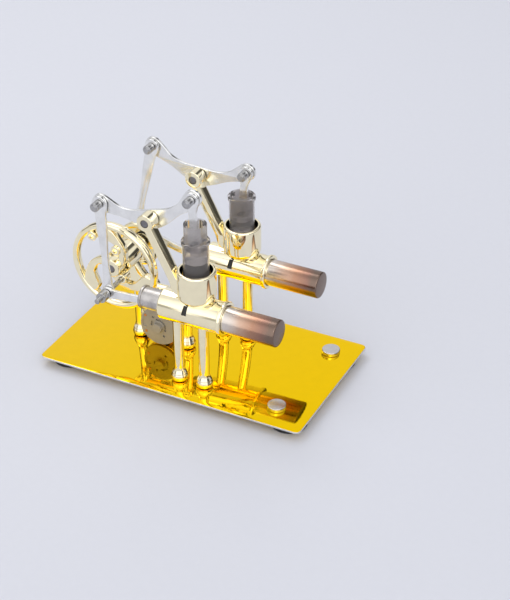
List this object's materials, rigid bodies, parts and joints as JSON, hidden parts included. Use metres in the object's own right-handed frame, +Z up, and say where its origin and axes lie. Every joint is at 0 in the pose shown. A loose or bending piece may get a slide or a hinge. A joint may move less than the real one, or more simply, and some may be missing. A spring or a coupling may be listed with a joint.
{
  "type": "stirling engine model",
  "caption": "Desktop hot-air engine model: twin horizontal engines with rocker beams drive one crankshaft, flywheel and small generator on a gold plate.",
  "frame": {"origin": "centre of the base plate's outline, at the bottom of the rubber feet", "axes": "+X along the plate towards the hot ends, +Y from the front engine to the back engine, +Z up"},
  "size_m": [0.16, 0.09, 0.1256],
  "materials": {
    "plate_gold": "mirror-polished gold",
    "pale_gold": "polished pale gold plating",
    "rubber": "black, matt",
    "nickel": "satin nickel",
    "steel": "polished",
    "dark_steel": "plain",
    "hot_steel": "thin steel with copper and purple heat tint",
    "smoky_glass": "smoky, clear",
    "frosted_grey": "frosted grey",
    "graphite": "dark, glossy",
    "beige_plastic": "satin"
  },
  "bodies": {
    "frame": {"base_plate": "plate_gold", "rubber_foot_left_front": "rubber", "rubber_foot_left_back": "rubber", "rubber_foot_right_front": "rubber", "rubber_foot_right_back": "rubber", "magnet_front": "nickel", "magnet_back": "nickel", "shaft_stand": "pale_gold", "shaft_bearing": "dark_steel", "generator_case": "steel", "generator_end_cap": "beige_plastic", "drive_belt": "rubber", "housing_front": "pale_gold", "hot_cap_front": "hot_steel", "cold_cylinder_front": "frosted_grey", "power_cylinder_front": "smoky_glass", "pivot_pin_front": "dark_steel", "housing_back": "pale_gold", "hot_cap_back": "hot_steel", "cold_cylinder_back": "frosted_grey", "power_cylinder_back": "smoky_glass", "pivot_pin_back": "dark_steel"},
    "crank": {"crankshaft": "dark_steel", "flywheel": "pale_gold", "crank_disc": "pale_gold", "belt_pulley": "steel", "crank_pin_front": "dark_steel", "crank_pin_back": "dark_steel"},
    "generator_rotor": {"generator_shaft": "dark_steel", "generator_pulley": "steel"},
    "beam_front": {"rocker_beam_front": "steel", "beam_pin_left_front": "steel", "beam_pin_right_front": "steel"},
    "connecting_link_front": {"connecting_link_front": "steel"},
    "piston_link_front": {"piston_link_front": "steel", "wrist_pin_front": "dark_steel"},
    "piston_front": {"piston_front": "graphite"},
    "displacer_front": {"crosshead_front": "graphite", "crosshead_pin_front": "dark_steel", "displacer_rod_front": "steel", "displacer_front": "frosted_grey"},
    "displacer_link_front": {"displacer_link_front": "steel", "crank_nut_front": "steel"},
    "beam_back": {"rocker_beam_back": "steel", "beam_pin_left_back": "steel", "beam_pin_right_back": "steel"},
    "connecting_link_back": {"connecting_link_back": "steel", "crank_nut_back": "steel"},
    "piston_link_back": {"piston_link_back": "steel", "wrist_pin_back": "dark_steel"},
    "piston_back": {"piston_back": "graphite"},
    "displacer_back": {"crosshead_back": "graphite", "crosshead_pin_back": "dark_steel", "displacer_rod_back": "steel", "displacer_back": "frosted_grey"},
    "displacer_link_back": {"displacer_link_back": "steel"}
  },
  "joints": [
    {"name": "crank_spin", "type": "hinge", "parent": "frame", "child": "crank", "pos_m": [-0.0474, 0, 0.0568], "axis": [0, 1, 0], "continuous": true},
    {"name": "generator_spin", "type": "hinge", "parent": "frame", "child": "generator_rotor", "pos_m": [-0.02535, 0, 0.0186], "axis": [0, 1, 0], "continuous": true},
    {"name": "beam_front_rock", "type": "hinge", "parent": "frame", "child": "beam_front", "pos_m": [-0.0135, -0.0293, 0.1034], "axis": [0, -1, 0], "range_deg": [-23.9, 4.8]},
    {"name": "connecting_link_front_swing", "type": "hinge", "parent": "beam_front", "child": "connecting_link_front", "pos_m": [-0.04385, -0.0293, 0.10515], "axis": [0, -1, 0], "range_deg": [-4.9, 24]},
    {"name": "piston_link_front_swing", "type": "hinge", "parent": "beam_front", "child": "piston_link_front", "pos_m": [0.01137, -0.0293, 0.12088], "axis": [0, -1, 0], "range_deg": [-2.36, 11.33]},
    {"name": "piston_front_slide", "type": "slide", "parent": "frame", "child": "piston_front", "axis": [0, 0, 1], "range_m": [-0.0114, 0.00237]},
    {"name": "displacer_front_slide", "type": "slide", "parent": "frame", "child": "displacer_front", "axis": [1, 0, 0], "range_m": [-0.0138, 0.0013]},
    {"name": "displacer_link_front_swing", "type": "hinge", "parent": "displacer_front", "child": "displacer_link_front", "pos_m": [-0.0075, -0.0293, 0.0539], "axis": [0, 1, 0], "range_deg": [-1, 9.4]},
    {"name": "beam_back_rock", "type": "hinge", "parent": "frame", "child": "beam_back", "pos_m": [-0.0135, 0.0228, 0.1034], "axis": [0, -1, 0], "range_deg": [-4.9, 24]},
    {"name": "connecting_link_back_swing", "type": "hinge", "parent": "beam_back", "child": "connecting_link_back", "pos_m": [-0.04162, 0.0228, 0.11495], "axis": [0, -1, 0], "range_deg": [-24, 4.9]},
    {"name": "piston_link_back_swing", "type": "hinge", "parent": "beam_back", "child": "piston_link_back", "pos_m": [0.01571, 0.0228, 0.11182], "axis": [0, -1, 0], "range_deg": [-11.33, 2.36]},
    {"name": "piston_back_slide", "type": "slide", "parent": "frame", "child": "piston_back", "axis": [0, 0, 1], "range_m": [-0.00237, 0.0114]},
    {"name": "displacer_back_slide", "type": "slide", "parent": "frame", "child": "displacer_back", "axis": [1, 0, 0], "range_m": [-0.0014, 0.0139]},
    {"name": "displacer_link_back_swing", "type": "hinge", "parent": "displacer_back", "child": "displacer_link_back", "pos_m": [-0.02005, 0.0228, 0.0539], "axis": [0, 1, 0], "range_deg": [-9.4, 1]}
  ],
  "couplings": [
    {"joint": "generator_spin", "follows": "crank_spin", "ratio": 1.4545},
    {"joint": "connecting_link_front_swing", "follows": "beam_front_rock", "ratio": -1},
    {"joint": "piston_link_front_swing", "follows": "beam_front_rock", "ratio": -0.465},
    {"joint": "piston_front_slide", "follows": "beam_front_rock", "m_per_rad": 0.0271},
    {"joint": "displacer_link_front_swing", "follows": "displacer_front_slide", "rad_per_m": -11.76},
    {"joint": "beam_back_rock", "follows": "beam_front_rock", "ratio": -1},
    {"joint": "displacer_back_slide", "follows": "displacer_front_slide", "ratio": -1},
    {"joint": "connecting_link_back_swing", "follows": "beam_front_rock", "ratio": 1},
    {"joint": "piston_link_back_swing", "follows": "beam_front_rock", "ratio": 0.465},
    {"joint": "piston_back_slide", "follows": "beam_front_rock", "m_per_rad": -0.0271},
    {"joint": "displacer_link_back_swing", "follows": "displacer_front_slide", "rad_per_m": 11.76}
  ]
}
